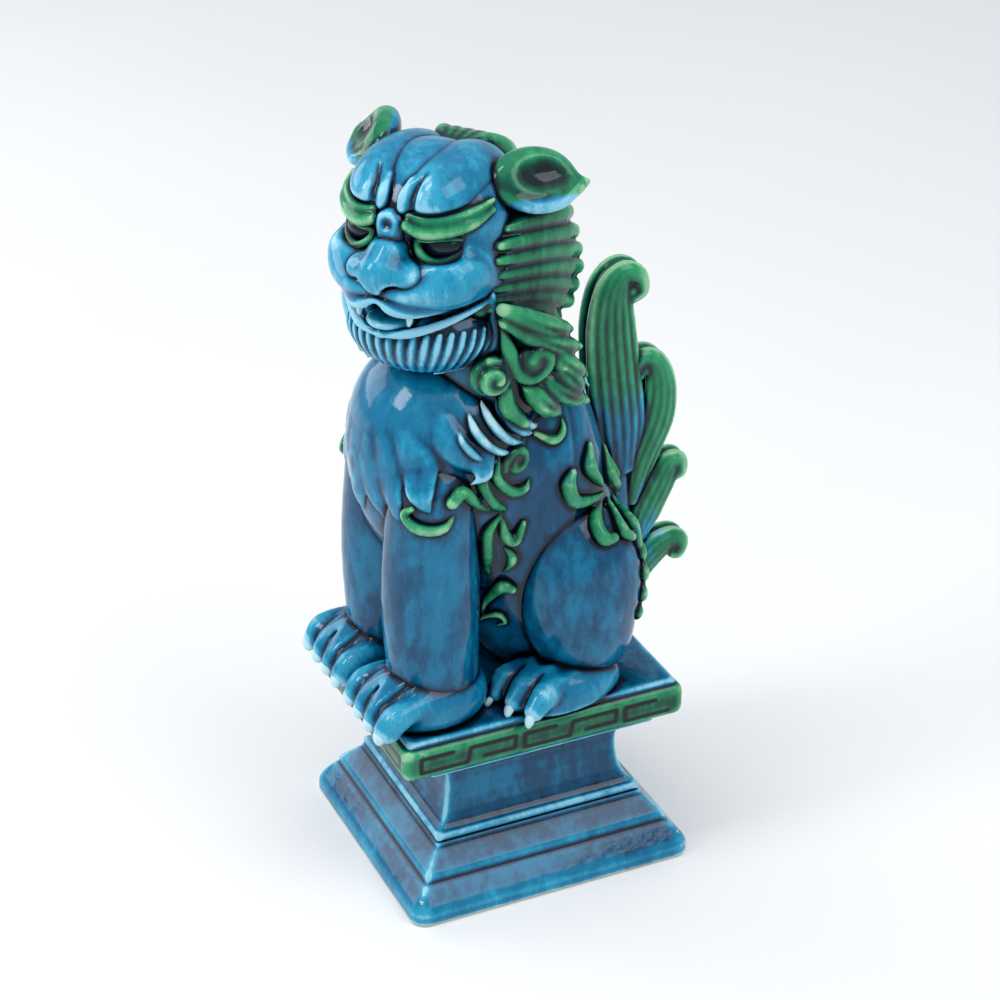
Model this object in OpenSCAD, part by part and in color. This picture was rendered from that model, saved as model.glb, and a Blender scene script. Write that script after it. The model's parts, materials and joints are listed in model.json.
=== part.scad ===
// Seated guardian lion on a moulded plinth, glazed earthenware, built from hollow castings
// with sprigged reliefs luted on. Millimetres. +X is the lion's left, -Y its front, +Z up.
// The origin is at the middle of the whole figure's footprint, on the table.

/* [Plinth] */
// Width of the foot moulding, across the lion
foot_w = 100; // [96:1:104]
// Depth of the foot moulding, along the lion
foot_d = 110; // [106:1:114]
// Height of the stepped foot moulding
foot_h = 24; // [22:1:26]
// Height of the underside of the top slab
slab_z = 56.6; // [55:0.1:58]
// Thickness of the top slab
slab_t = 12.6; // [11:0.1:14]
// Width of the top slab
slab_w = 83; // [80:1:86]
// Depth of the top slab
slab_d = 109; // [106:1:111]
// Wall of the hollow castings
wall = 5; // [4:0.5:6]

/* [Body] */
// Thickness of the raised ground under the lion
ground_t = 1.8; // [1:0.1:3]
// Spacing of the foreleg centres
leg_spacing = 37; // [35:1:39]
// Radius of a foreleg
leg_r = 16; // [15:0.5:17]
// Height of a foreleg's top above the ground
leg_h = 84; // [78:1:90]

/* [Head] */
// Angle that the head turns to the lion's left
head_turn = 36; // [30:1:40]
// Height of the brow bead above the table
brow_z = 254; // [250:1:258]
// Half the distance between the eyes
eye_x = 16; // [15:0.5:17]

/* [Hidden] */

// The plinth stands forward of the origin, because the tail overhangs it behind.
plinth_y = -4.7;
ground_z = slab_z + slab_t + ground_t;
step_in = 7.3;        // each step of the foot moulding sets in by this much
neck_in = 21.5;       // the neck's waist sets in from the foot by this much
vent_r = 1.8;         // prick holes that let the closed hollows breathe in the kiln
brow_at = [14.4, -42.2, brow_z];
smooth = 40;
fine = 28;

// ---------- helpers ----------

// An ellipsoid with radii r about the point at.
module blob(at, r, turn = [0, 0, 0]) translate(at) rotate(turn) scale(r) sphere(1, $fn = smooth);

// The mirrored copy goes to the lion's right.
module sided(side) mirror([side < 0 ? 1 : 0, 0, 0]) children();

// Puts children in the head's own frame: origin at the brow bead, -Y out of the face.
module in_head() translate(brow_at) rotate([0, 0, head_turn]) children();

// A curl: a ring standing on the surface, with a round boss in its eye.
module curl(at, ring_r, tube_r) translate(at) rotate([0, 90, 0]) {
  rotate_extrude($fn = smooth) translate([ring_r, 0]) circle(tube_r, $fn = fine);
  sphere(tube_r * 1.25, $fn = fine);
}

// The outline of a lock of hair: a tapering arc about c, from angle a0 to a1, w0 to w1 wide.
lock_steps = 10;
function arc_point(c, r, a) = c + r * [cos(a), sin(a)];
function lock(c, r, a0, a1, w0, w1) = concat(
  [for (i = [0:lock_steps]) let (t = i / lock_steps)
    arc_point(c, r + (w0 + (w1 - w0) * t) / 2, a0 + (a1 - a0) * t)],
  [for (i = [lock_steps:-1:0]) let (t = i / lock_steps)
    arc_point(c, r - (w0 + (w1 - w0) * t) / 2, a0 + (a1 - a0) * t)]);

// A flat sprig of thickness t, drawn in the side view: across is Y and up is Z.
module side_sprig(t) rotate([90, 0, 90]) linear_extrude(t, center = true) children();

// A mitred moulding: the same profile run along X and along Y.
module mitred(profile_x, profile_y) intersection() {
  rotate([90, 0, 0]) linear_extrude(foot_d * 2, center = true) polygon(profile_x);
  rotate([90, 0, 90]) linear_extrude(foot_w * 2, center = true) polygon(profile_y);
}

// Mirrors an outline of [inset, height] points about the middle of a width.
function both_sides(outline, width) = concat(
  [for (p = outline) [width / 2 - p[0], p[1]]],
  [for (i = [len(outline) - 1:-1:0]) [outline[i][0] - width / 2, outline[i][1]]]);

// ---------- plinth ----------

foot_outline = [[0, 0], [0, 5], [1.4, 7.6], [step_in, 13], [step_in, 15.6], [step_in + 1, 17.4],
  [2 * step_in - 0.4, foot_h - 0.6], [2 * step_in - 0.4, foot_h]];
neck_top_x = [[neck_in, 42], [neck_in - 0.8, 47], [neck_in - 3.4, 51.6], [neck_in - 9, 55], [neck_in - 9, slab_z]];
neck_top_y = [[neck_in, 42], [neck_in - 0.8, 47], [neck_in - 4.6, 51.6], [neck_in - 15, 55], [neck_in - 15, slab_z]];
neck_low = [[2 * step_in - 0.4, foot_h], [2 * step_in - 0.4, foot_h + 2], [17.6, 30], [20.2, 36]];

module hollow_core(top) translate([0, 0, top / 2 - 0.5])
  cube([foot_w - 2 * neck_in - 2 * wall, foot_d - 2 * neck_in - 2 * wall, top + 1], center = true);

module at_plinth() translate([0, plinth_y, 0]) children();

module foot_moulding() color("steelblue") at_plinth() difference() {
  mitred(both_sides(foot_outline, foot_w), both_sides(foot_outline, foot_d));
  hollow_core(foot_h + 1);
  // the casting's inside follows the steps
  translate([0, 0, foot_h / 4 - 1])
    cube([foot_w - 2 * step_in - 2 * wall, foot_d - 2 * step_in - 2 * wall, foot_h / 2], center = true);
}

module plinth_neck() color("steelblue") at_plinth() difference() {
  mitred(both_sides(concat(neck_low, neck_top_x), foot_w), both_sides(concat(neck_low, neck_top_y), foot_d));
  hollow_core(slab_z + 2);
}

module rounded_plate(w, d, r, h) union() {
  translate([-w / 2 + r, -d / 2, 0]) cube([w - 2 * r, d, h]);
  translate([-w / 2, -d / 2 + r, 0]) cube([w, d - 2 * r, h]);
  for (x = [-1, 1], y = [-1, 1]) translate([x * (w / 2 - r), y * (d / 2 - r), 0]) cylinder(r = r, h = h, $fn = smooth);
}

module top_slab() color("seagreen") at_plinth() difference() {
  translate([0, 0, slab_z]) rounded_plate(slab_w, slab_d, 5, slab_t);
  translate([0, -plinth_y, slab_z - 1]) cylinder(r = vent_r, h = slab_t + 2, $fn = fine);
}

module ground_plate() color("steelblue") at_plinth() difference() {
  translate([0, 0, slab_z + slab_t]) rounded_plate(slab_w - 5, slab_d - 5, 3, ground_t);
  translate([0, -plinth_y, slab_z]) cylinder(r = vent_r, h = slab_t + 9, $fn = fine);
}

// ---------- body ----------

// The lion is cut off flat where it stands on the raised ground.
module above_ground() translate([-100, -100, ground_z]) cube([200, 200, 300]);

module chest_form() blob([0, -20, 158], [31, 33, 42]);
module belly_form() blob([0, 12, 122], [33, 32, 58]);

module torso() color("steelblue") at_plinth() difference() {
  intersection() {
    union() { chest_form(); belly_form(); }
    above_ground();
  }
  blob([0, -4, 134], [31 - wall, 26, 48], [14, 0, 0]);
  translate([0, -plinth_y, ground_z - 1]) cylinder(r = vent_r, h = 40, $fn = fine);
  translate([0, -14, 170]) cylinder(r = vent_r, h = 40, $fn = fine);
}

module foreleg() color("steelblue") difference() {
  translate([leg_spacing / 2, -34, ground_z]) union() {
    cylinder(r = leg_r, h = leg_h, $fn = smooth);
    translate([0, 0, leg_h]) sphere(leg_r, $fn = smooth);
  }
  chest_form();
  belly_form();
}

// Three toes stand out from each paw, and each has a nail under its tip.
toe_pitch = 10.6;
module forepaw() color("steelblue") difference() {
  intersection() {
    union() {
      blob([leg_spacing / 2 + 1.5, -39, 78], [18, 22, 15]);
      for (i = [-1, 0, 1]) blob([leg_spacing / 2 + 1.5 + i * toe_pitch, -49, 78.5], [6.2, 12, 9], [12, 0, 0]);
    }
    above_ground();
  }
  translate([leg_spacing / 2, -34, ground_z]) cylinder(r = leg_r, h = leg_h, $fn = smooth);
}
nail_r = 3.2;
module foreclaws() color("lightsteelblue") at_plinth() for (s = [-1, 1], i = [-1, 0, 1])
  translate([s * (leg_spacing / 2 + 1.5 + i * toe_pitch), -59.2, ground_z + nail_r]) sphere(nail_r, $fn = fine);

module haunch() color("steelblue") intersection() {
  difference() {
    blob([23, 21, 108], [17.5, 22, 29]);
    belly_form();
  }
  above_ground();
}

hind_toe_r = 6.4;
module hindpaw() color("steelblue") intersection() {
  union() {
    blob([27, 8, 74], [14, 22, 14]);
    for (i = [-1, 0, 1]) translate([29 + i * 9, -8 + i * 2.6, 76]) sphere(hind_toe_r, $fn = fine);
  }
  above_ground();
}
module hindclaws() color("lightsteelblue") at_plinth() for (s = [-1, 1], i = [-1, 0, 1])
  translate([s * (30.5 + i * 9), -14.6 + i * 2.6, ground_z + nail_r]) sphere(nail_r, $fn = fine);

// The bib of hair lies over the chest.
module chest_bib() color("steelblue") at_plinth() difference() {
  intersection() {
    blob([0, -22, 170], [34, 35.5, 36]);
    translate([-50, -80, 130]) cube([100, 62, 90]);
  }
  chest_form();
}

module neck_mane() color("steelblue") at_plinth() difference() {
  blob([4, -3, 206], [33, 31, 40]);
  chest_form();
  in_head() skull_blob();
}

// ---------- head ----------

module skull_blob() blob([0, 25, -2], [29.5, 28, 27]);
module cheek_blob() blob([0, 13, -26], [33, 25, 17]);
module mouth_gap() translate([0, -9, -31]) rotate([0, 90, 0]) cylinder(r = 5, h = 26, center = true, $fn = smooth);

module cranium() color("steelblue") at_plinth() in_head() difference() {
  union() { skull_blob(); cheek_blob(); }
  blob([0, 24, -4], [24, 22, 20]);
  translate([0, 24, -60]) cylinder(r = vent_r, h = 50, $fn = fine);
  mouth_gap();
}

// The jaw is cut off flat where the ribbed beard hangs from it.
beard_z = -40;
module lower_jaw() color("steelblue") at_plinth() in_head() difference() {
  blob([0, 12, -35], [32, 26, 18]);
  cheek_blob();
  mouth_gap();
  translate([-50, -50, beard_z - 30]) cube([100, 100, 30]);
}
module beard() color("steelblue") at_plinth() in_head() intersection() {
  blob([0, 11, -38], [34, 28, 19]);
  translate([-50, -50, beard_z - 30]) cube([100, 75, 30]);
}
module tongue() color("seagreen") at_plinth() in_head() blob([0, -5, -34], [8, 9, 2.2]);
module fangs() color("lightsteelblue") at_plinth() in_head()
  for (s = [-1, 1]) translate([s * 11, -12, -35]) cylinder(r1 = 1, r2 = 2.2, h = 8, $fn = fine);

module forehead_lobes() color("steelblue") at_plinth() in_head() difference() {
  intersection() {
    union() for (s = [-1, 1]) blob([s * 14, 20, 4], [17, 27, 22]);
    translate([-40, -20, 2]) cube([80, 80, 40]);
  }
  skull_blob();
}
module brow(side) color("seagreen") at_plinth() in_head() sided(side)
  blob([17, 2.4, -1.4], [13.5, 6.4, 3.4], [0, -7, 18]);
module brow_bead() color("steelblue") at_plinth() in_head() translate([0, -2.6, -2]) sphere(6, $fn = smooth);

eye_at = [eye_x, 1.8, -10.4];
eye_r = 5;
module eyeball(side) color("darkslategray") at_plinth() in_head() sided(side)
  translate(eye_at) sphere(eye_r, $fn = smooth);
module eyelid(side) color("seagreen") at_plinth() in_head() sided(side)
  translate(eye_at) rotate([90, 0, 0]) rotate_extrude($fn = smooth)
    translate([eye_r + 1, 0]) circle(1.7, $fn = fine);

module nose() color("steelblue") at_plinth() in_head()
  blob([0, -7.8, -17.6], [13, 8.3, 7.2]);

module upper_lip() color("steelblue") at_plinth() in_head()
  for (s = [-1, 1]) blob([s * 11.6, -3.5, -25.4], [11.5, 10, 4]);

module ear(side) color("seagreen") at_plinth() in_head() sided(side) difference() {
  blob([36, 35, 10], [15, 9.5, 10.5]);
  translate([41, 25, 12]) sphere(9, $fn = smooth);
}
module crest() color("seagreen") at_plinth() in_head() {
  curl([0, 48, 17], 6, 3.4);
  translate([0, 50, -6]) cylinder(r1 = 11, r2 = 6, h = 18, $fn = smooth);
}

// ---------- mane ----------

// A fan of locks in a plate, spread between two angles from its root.
module fan(count, from, to, length, half_w) side_sprig(8) for (i = [0:count - 1])
  rotate(from + (to - from) * i / (count - 1)) translate([length / 2, 0]) scale([length / 2, half_w])
    circle(1, $fn = fine);

// The left fans stand out further, because the head turns towards them.
function fan_flare(side) = side > 0 ? 8 : -3;
function fan_length(side) = side > 0 ? 43 : 38;
module mane_fan(side) color("seagreen") at_plinth() in_head() sided(side)
  translate([33, 16, -26]) rotate([0, 0, fan_flare(side)]) fan(6, 58, -22, fan_length(side), 6.5);
module mane_skirt(side) color("seagreen") at_plinth() in_head() sided(side)
  translate([33, 18, -44]) rotate([0, 0, fan_flare(side)]) fan(4, -26, -74, fan_length(side) - 2, 5.5);

// Long locks hang down the back of the neck.
module mane_back() color("steelblue") at_plinth() for (i = [-2:2])
  translate([i * 11 - 4, 24 - 2 * abs(i), 178]) cylinder(r1 = 3, r2 = 7, h = 52 - 3 * abs(i), $fn = fine);

module neck_curls(side) color("seagreen") at_plinth() sided(side) {
  curl([31, -18, 199], 5.2, 3.6);
  curl([34, -2, 206], 5.2, 3.4);
}

// Crescent locks that sweep back over the shoulder.
module shoulder_locks(side) color("lightsteelblue") at_plinth() sided(side) for (i = [0:2])
  translate([30, -22 + 1.5 * i, 186 - 7 * i]) rotate([0, 90, 8]) rotate([0, 0, -20])
    rotate_extrude(angle = 130, $fn = smooth) translate([9, 0]) circle(3, $fn = fine);

// Scrolls and leaves that run down behind the foreleg.
module leg_scrolls(side) color("seagreen") at_plinth() sided(side) {
  curl([31, -9, 168], 5, 2.6);
  curl([30, -14, 150], 4.4, 2.4);
  curl([30, -8, 136], 4.4, 2.4);
  translate([30, -13, 119]) side_sprig(8) polygon(lock([14, 0], 15, 130, 215, 4, 9));
  translate([27, -12, 96]) side_sprig(8) polygon(lock([12, 0], 14, 140, 215, 4, 8));
}

// Tongues of flame over the hip.
module hip_flames(side) color("seagreen") at_plinth() sided(side) {
  curl([33, 12, 142], 4.6, 3);
  for (i = [0:2]) translate([34 - 2 * i, 20 + 6 * i, 146 - 12 * i]) side_sprig(9)
    polygon(lock([-10, 0], 13, -60, 50, 10, 3));
}

// ---------- tail ----------

module tail_root() color("steelblue") at_plinth() difference() {
  intersection() {
    blob([0, 38, 108], [9, 15, 44]);
    above_ground();
  }
  belly_form();
}

// Each frond is an arc that ends in a round curl. They stack up the back, and each is cut
// back where it lies against the one above.
frond_t = 13;
module top_outline() {
  polygon(lock([-50, 178], 97, -23, 23, 20, 13));
  translate([46, 209]) circle(9, $fn = fine);
}
module upper_outline() {
  polygon(lock([20, 160], 38, -45, 22, 15, 10));
  translate([53, 177]) circle(7, $fn = fine);
}
module lower_outline() {
  polygon(lock([40, 130], 26, -62, 15, 14, 8));
  translate([64, 139]) circle(7, $fn = fine);
}
module base_outline() {
  polygon(lock([48, 103], 20, -80, 0, 12, 8));
  translate([65, 106]) circle(7, $fn = fine);
}
module frond() color("seagreen") at_plinth() side_sprig(frond_t) difference() {
  children(0);
  children(1);
}

// ---------- what is drawn ----------

module of_side(side) at_plinth() sided(side) children();

foot_moulding();
plinth_neck();
top_slab();
ground_plate();
torso();
chest_bib();
neck_mane();
of_side(1) foreleg();  // foreleg_left
of_side(-1) foreleg();  // foreleg_right
of_side(1) forepaw();  // forepaw_left
of_side(-1) forepaw();  // forepaw_right
foreclaws();
of_side(1) haunch();  // haunch_left
of_side(-1) haunch();  // haunch_right
of_side(1) hindpaw();  // hindpaw_left
of_side(-1) hindpaw();  // hindpaw_right
hindclaws();
cranium();
forehead_lobes();
brow(1);  // brow_left
brow(-1);  // brow_right
brow_bead();
eyeball(1);  // eyeball_left
eyeball(-1);  // eyeball_right
eyelid(1);  // eyelid_left
eyelid(-1);  // eyelid_right
nose();
upper_lip();
lower_jaw();
beard();
tongue();
fangs();
ear(1);  // ear_left
ear(-1);  // ear_right
crest();
mane_fan(1);  // mane_fan_left
mane_fan(-1);  // mane_fan_right
mane_skirt(1);  // mane_skirt_left
mane_skirt(-1);  // mane_skirt_right
mane_back();
neck_curls(1);  // neck_curls_left
neck_curls(-1);  // neck_curls_right
shoulder_locks(1);  // shoulder_locks_left
shoulder_locks(-1);  // shoulder_locks_right
leg_scrolls(1);  // leg_scrolls_left
leg_scrolls(-1);  // leg_scrolls_right
hip_flames(1);  // hip_flames_left
hip_flames(-1);  // hip_flames_right
tail_root();
frond() { top_outline(); circle(1, $fn = fine); }  // tail_frond_top
frond() { upper_outline(); top_outline(); }  // tail_frond_upper
frond() { lower_outline(); upper_outline(); }  // tail_frond_lower
frond() { base_outline(); lower_outline(); }  // tail_frond_base
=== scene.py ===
"""A seated guardian lion in turquoise and green glaze, modelled in clay fields around its CAD frame.

Lengths in this script are millimetres in the stand's frame: its origin is under the middle of the plinth,
+X is the lion's left, -Y its front and +Z up. Pieces are moved to the shared frame, in metres, as they are
meshed.
"""
import json
import math

import bpy
import numpy as np
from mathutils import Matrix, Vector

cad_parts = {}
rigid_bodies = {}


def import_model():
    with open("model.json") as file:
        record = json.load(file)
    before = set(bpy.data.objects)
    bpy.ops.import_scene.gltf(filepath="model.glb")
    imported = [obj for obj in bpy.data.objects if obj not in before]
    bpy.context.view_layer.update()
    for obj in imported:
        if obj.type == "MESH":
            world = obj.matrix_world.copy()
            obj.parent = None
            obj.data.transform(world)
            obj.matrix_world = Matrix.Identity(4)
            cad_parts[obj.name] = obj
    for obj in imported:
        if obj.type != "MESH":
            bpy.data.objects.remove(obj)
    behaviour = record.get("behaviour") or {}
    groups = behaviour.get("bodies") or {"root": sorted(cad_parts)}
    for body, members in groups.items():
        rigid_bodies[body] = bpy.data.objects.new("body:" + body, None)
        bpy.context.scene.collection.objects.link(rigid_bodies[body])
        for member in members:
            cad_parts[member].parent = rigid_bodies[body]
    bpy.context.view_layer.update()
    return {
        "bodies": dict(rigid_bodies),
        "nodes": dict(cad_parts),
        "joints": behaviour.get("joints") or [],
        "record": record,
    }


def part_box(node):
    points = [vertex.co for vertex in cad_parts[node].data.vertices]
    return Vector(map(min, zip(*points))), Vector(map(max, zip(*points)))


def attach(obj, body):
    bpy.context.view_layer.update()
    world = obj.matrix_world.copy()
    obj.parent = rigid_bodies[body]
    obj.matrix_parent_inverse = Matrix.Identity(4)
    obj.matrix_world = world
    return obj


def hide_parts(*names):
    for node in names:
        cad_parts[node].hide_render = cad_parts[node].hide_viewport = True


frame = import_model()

import openvdb
from mathutils import Vector

MM = 0.001

STEP = 0.65          # spacing of the sculpting lattice, mm
FAR = 60.0           # "no clay here"


class Frame:
    """Where a drawing is: its own axes and its own origin, in the stand's millimetres."""

    def __init__(self, axes=np.eye(3), origin=(0.0, 0.0, 0.0)):
        self.axes = np.array(axes, float)
        self.origin = np.array(origin, float)

    def point(self, p):
        return np.array(p, float) @ self.axes.T + self.origin

    def mirrored(self):
        return Frame(self.axes @ np.diag([-1.0, 1.0, 1.0]), self.origin)


def turned(degrees):
    """The matrix that turns about X, then Y, then Z."""
    a, b, c = np.radians(degrees)
    rx = np.array([[1, 0, 0], [0, math.cos(a), -math.sin(a)], [0, math.sin(a), math.cos(a)]])
    ry = np.array([[math.cos(b), 0, math.sin(b)], [0, 1, 0], [-math.sin(b), 0, math.cos(b)]])
    rz = np.array([[math.cos(c), -math.sin(c), 0], [math.sin(c), math.cos(c), 0], [0, 0, 1]])
    return rz @ ry @ rx


def smooth_min(a, b, k):
    if k <= 0:
        return np.minimum(a, b)
    h = np.maximum(k - np.abs(a - b), 0) / k
    return np.minimum(a, b) - h * h * (k / 4)


class Shape:
    """A form made of simple parts: each has a box that it fits in, and its signed distance."""

    def __init__(self, parts):
        self.parts = parts
        self.low = np.min([p[0] for p in parts], axis=0)
        self.high = np.max([p[1] for p in parts], axis=0)

    def at(self, x, y, z):
        value = self.parts[0][2](x, y, z)
        for _, _, distance in self.parts[1:]:
            value = np.minimum(value, distance(x, y, z))
        return value


def ball(frame, at, radii, turn=(0, 0, 0)):
    """An ellipsoid."""
    c = frame.point(at)
    m = frame.axes @ turned(turn)
    r = np.array(radii, float) * np.ones(3)
    reach = np.sqrt(((m * r) ** 2).sum(1))

    def distance(x, y, z):
        dx, dy, dz = x - c[0], y - c[1], z - c[2]
        s = g = 0
        for i in range(3):
            u = (dx * m[0, i] + dy * m[1, i] + dz * m[2, i]) / r[i]
            s = s + u * u
            g = g + u * u / r[i] ** 2
        k = np.sqrt(s)
        return k * (k - 1) / np.sqrt(g + 1e-9)

    return Shape([(c - reach, c + reach, distance)])


def box(frame, at, half, rounding=0.0, turn=(0, 0, 0)):
    """A block with rounded edges."""
    c = frame.point(at)
    m = frame.axes @ turned(turn)
    h = np.array(half, float)
    reach = np.abs(m) @ h

    def distance(x, y, z):
        dx, dy, dz = x - c[0], y - c[1], z - c[2]
        q = [np.abs(dx * m[0, i] + dy * m[1, i] + dz * m[2, i]) - (h[i] - rounding) for i in range(3)]
        outside = np.sqrt(sum(np.maximum(v, 0) ** 2 for v in q))
        inside = np.minimum(np.maximum(np.maximum(q[0], q[1]), q[2]), 0)
        return outside + inside - rounding

    return Shape([(c - reach, c + reach, distance)])


def segment(a, b, ra, rb, normal, flat):
    """A tapering rod from a to b. It is flat times thinner along normal."""
    ab = b - a
    length2 = max(float(ab @ ab), 1e-9)
    r = max(ra, rb)

    def distance(x, y, z):
        dx, dy, dz = x - a[0], y - a[1], z - a[2]
        t = np.clip((dx * ab[0] + dy * ab[1] + dz * ab[2]) / length2, 0, 1)
        dx, dy, dz = dx - t * ab[0], dy - t * ab[1], dz - t * ab[2]
        across = dx * dx + dy * dy + dz * dz
        if flat != 1:
            out = dx * normal[0] + dy * normal[1] + dz * normal[2]
            across = across + out * out * (flat * flat - 1)
        return np.sqrt(across) - (ra + (rb - ra) * t)

    return np.minimum(a, b) - r, np.maximum(a, b) + r, distance


def rod(points, radii, normals=None, flat=1.0):
    """A rod that tapers through points."""
    points = np.array(points, float)
    radii = np.ones(len(points)) * radii
    if normals is None:
        normals = np.zeros_like(points)
    return Shape([segment(points[i], points[i + 1], radii[i], radii[i + 1], normals[i], flat)
                  for i in range(len(points) - 1)])


def curve(points, count=14):
    """A smooth line through points, with count points along it."""
    p = np.array(points, float)
    if len(p) == 2:
        return p[0] + (p[1] - p[0]) * np.linspace(0, 1, count)[:, None]
    p = np.vstack([2 * p[0] - p[1], p, 2 * p[-1] - p[-2]])
    out = []
    for s in np.linspace(0, len(p) - 3, count):
        i = min(int(s), len(p) - 4)
        t = s - i
        a, b, c, d = p[i:i + 4]
        out.append(0.5 * (2 * b + (c - a) * t + (2 * a - 5 * b + 4 * c - d) * t ** 2
                          + (3 * b - a - 3 * c + d) * t ** 3))
    return np.array(out)


def spread(values, count):
    """Values spaced evenly, read at count places."""
    return np.interp(np.linspace(0, 1, count), np.linspace(0, 1, len(values)), values)


def tube(frame, points, radii, count=14):
    """A smooth rod through points drawn in a frame, with radii spread evenly along it."""
    return rod(frame.point(curve(points, count)), spread(radii, count))


class Clay:
    """A lump of clay: forms added and cut in turn. Its field is negative inside."""

    def __init__(self):
        self.steps = []

    def add(self, shape, blend=0.0):
        self.steps.append((1, shape, blend))
        return self

    def cut(self, shape, blend=0.0):
        self.steps.append((-1, shape, blend))
        return self

    def at(self, p):
        x, y, z = np.array(p, float).T
        value = np.full(x.shape, FAR)
        for sign, shape, blend in self.steps:
            d = shape.at(x, y, z)
            value = smooth_min(value, d, blend) if sign > 0 else -smooth_min(-value, d, blend)
        return value

    def normal(self, p):
        steps = 0.2 * np.eye(3)
        g = np.stack([self.at(p + step) - self.at(p - step) for step in steps], axis=1)
        return g / np.maximum(np.linalg.norm(g, axis=1, keepdims=True), 1e-9)

    def field(self):
        """(first lattice index, field) over a box that holds the lump."""
        added = [s for sign, s, _ in self.steps if sign > 0]
        first = np.floor(np.min([s.low for s in added], axis=0) / STEP).astype(int) - 4
        last = np.ceil(np.max([s.high for s in added], axis=0) / STEP).astype(int) + 4
        grid = np.full(last - first, FAR, np.float32)
        for sign, shape, blend in self.steps:
            margin = blend + 3 * STEP
            window, axes = lattice_window(first, grid.shape, shape.low - margin, shape.high + margin)
            if window is None:
                continue
            local = np.full([len(a) for a in axes], FAR, np.float32)
            for low, high, distance in shape.parts:
                lo = [np.searchsorted(a, v) for a, v in zip(axes, low - margin)]
                hi = [np.searchsorted(a, v) for a, v in zip(axes, high + margin)]
                if any(h <= l for l, h in zip(lo, hi)):
                    continue
                inner = tuple(slice(l, h) for l, h in zip(lo, hi))
                x, y, z = np.ix_(*[a[s] for a, s in zip(axes, inner)])
                local[inner] = np.minimum(local[inner], distance(x, y, z))
            old = grid[window]
            grid[window] = smooth_min(old, local, blend) if sign > 0 else -smooth_min(-old, local, blend)
        return first, soften(grid)


def lattice_window(first, shape, low, high):
    """The part of a grid between two corners: its slices and its coordinates."""
    lo = np.maximum(np.floor(low / STEP).astype(int) - first, 0)
    hi = np.minimum(np.ceil(high / STEP).astype(int) + 1 - first, shape)
    if (hi <= lo).any():
        return None, None
    window = tuple(slice(l, h) for l, h in zip(lo, hi))
    axes = [((np.arange(l, h) + f) * STEP).astype(np.float32) for l, h, f in zip(lo, hi, first)]
    return window, axes


def soften(grid, weight=0.25):
    """Glaze fills the sharpest creases: each value moves a little towards its neighbours'."""
    for axis in range(3):
        inner = np.swapaxes(grid, 0, axis)
        middle = inner[1:-1] * (1 - 2 * weight) + (inner[2:] + inner[:-2]) * weight
        inner[1:-1] = middle
    return grid


VIEWS = {"side": ((1, 2), (1.0, 0.0, 0.0)), "front": ((0, 2), (0.0, -1.0, 0.0)),
         "back": ((0, 2), (0.0, 1.0, 0.0)), "top": ((0, 1), (0.0, 0.0, 1.0))}


def laid(base, frame, view, flat_points):
    """Points drawn flat in a view, dropped onto the clay from that side. Returns points and normals."""
    (i, j), towards = VIEWS[view]
    drawn = np.zeros((len(flat_points), 3))
    drawn[:, i], drawn[:, j] = np.array(flat_points, float).T
    towards = np.array(towards)
    start = frame.point(drawn + towards * 90)
    direction = -(frame.axes @ towards)
    travel = np.zeros(len(start))
    best, best_at = np.full(len(start), FAR * 9), travel.copy()
    for _ in range(70):
        d = base.at(start + direction * travel[:, None])
        closer = d < best
        best[closer], best_at[closer] = d[closer], travel[closer]
        travel = np.minimum(travel + np.maximum(d, 0.02) * 0.8, 175)
    p = start + direction * best_at[:, None]
    return p, base.normal(p)


# ---------- places taken from the frame ----------

def node_box(name):
    """A CAD node's low corner, high corner and middle, in mm."""
    low, high = (np.array(corner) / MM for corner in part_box(name))
    return low, high, (low + high) / 2


FOOT_LOW, FOOT_HIGH, FOOT_MID = node_box("foot_moulding")
SHIFT = np.array([FOOT_MID[0], FOOT_MID[1], 0.0])         # from the stand's frame to the shared one
SLAB_LOW, SLAB_HIGH, _ = node_box("top_slab")
GROUND = node_box("ground_plate")[1][2]                   # the level that the lion sits on
LEG_X = node_box("foreleg_left")[2][0]

STAND = Frame()
MIRROR = STAND.mirrored()
HEAD_TURN = 36.0
BEAD_IN_HEAD = np.array([0.0, -2.6, -2.0])
HEAD_AXES = turned((0, 0, HEAD_TURN))
HEAD_RISE = 3.2
HEAD = Frame(HEAD_AXES, node_box("brow_bead")[2] - SHIFT - HEAD_AXES @ BEAD_IN_HEAD + (0, 0, HEAD_RISE))
HEAD_MIRROR = HEAD.mirrored()
SIDES = (("left", STAND, HEAD), ("right", MIRROR, HEAD_MIRROR))


# ---------- clay forms ----------

def strand(clay, base, where, view, points, radii, flat=1.25, sink=0.35, blend=0.5, count=14):
    """Lays a tapering strand on the base clay along points drawn flat in a view."""
    path, normals = laid(base, where, view, curve(points, count))
    r = spread(radii, count)
    clay.add(rod(path + normals * (r * (1 / flat - sink))[:, None] * 0.8, r, normals, flat), blend)


def spiral(centre, outer, inner, turns, start, hand=1, count=26):
    """Points of a flat spiral that winds inwards about centre."""
    t = np.linspace(0, 1, count)
    angle = np.radians(start) + hand * 2 * math.pi * turns * t
    reach = outer + (inner - outer) * t
    return np.stack([centre[0] + reach * np.cos(angle), centre[1] + reach * np.sin(angle)], axis=1)


def in_plane(where, x_near, x_far, points):
    """Points drawn as (y, z) in a frame, standing x_near out at the first and x_far out at the last."""
    points = np.array(points, float)
    x = np.linspace(x_near, x_far, len(points))
    return where.point(np.stack([x, points[:, 0], points[:, 1]], axis=1))


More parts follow.
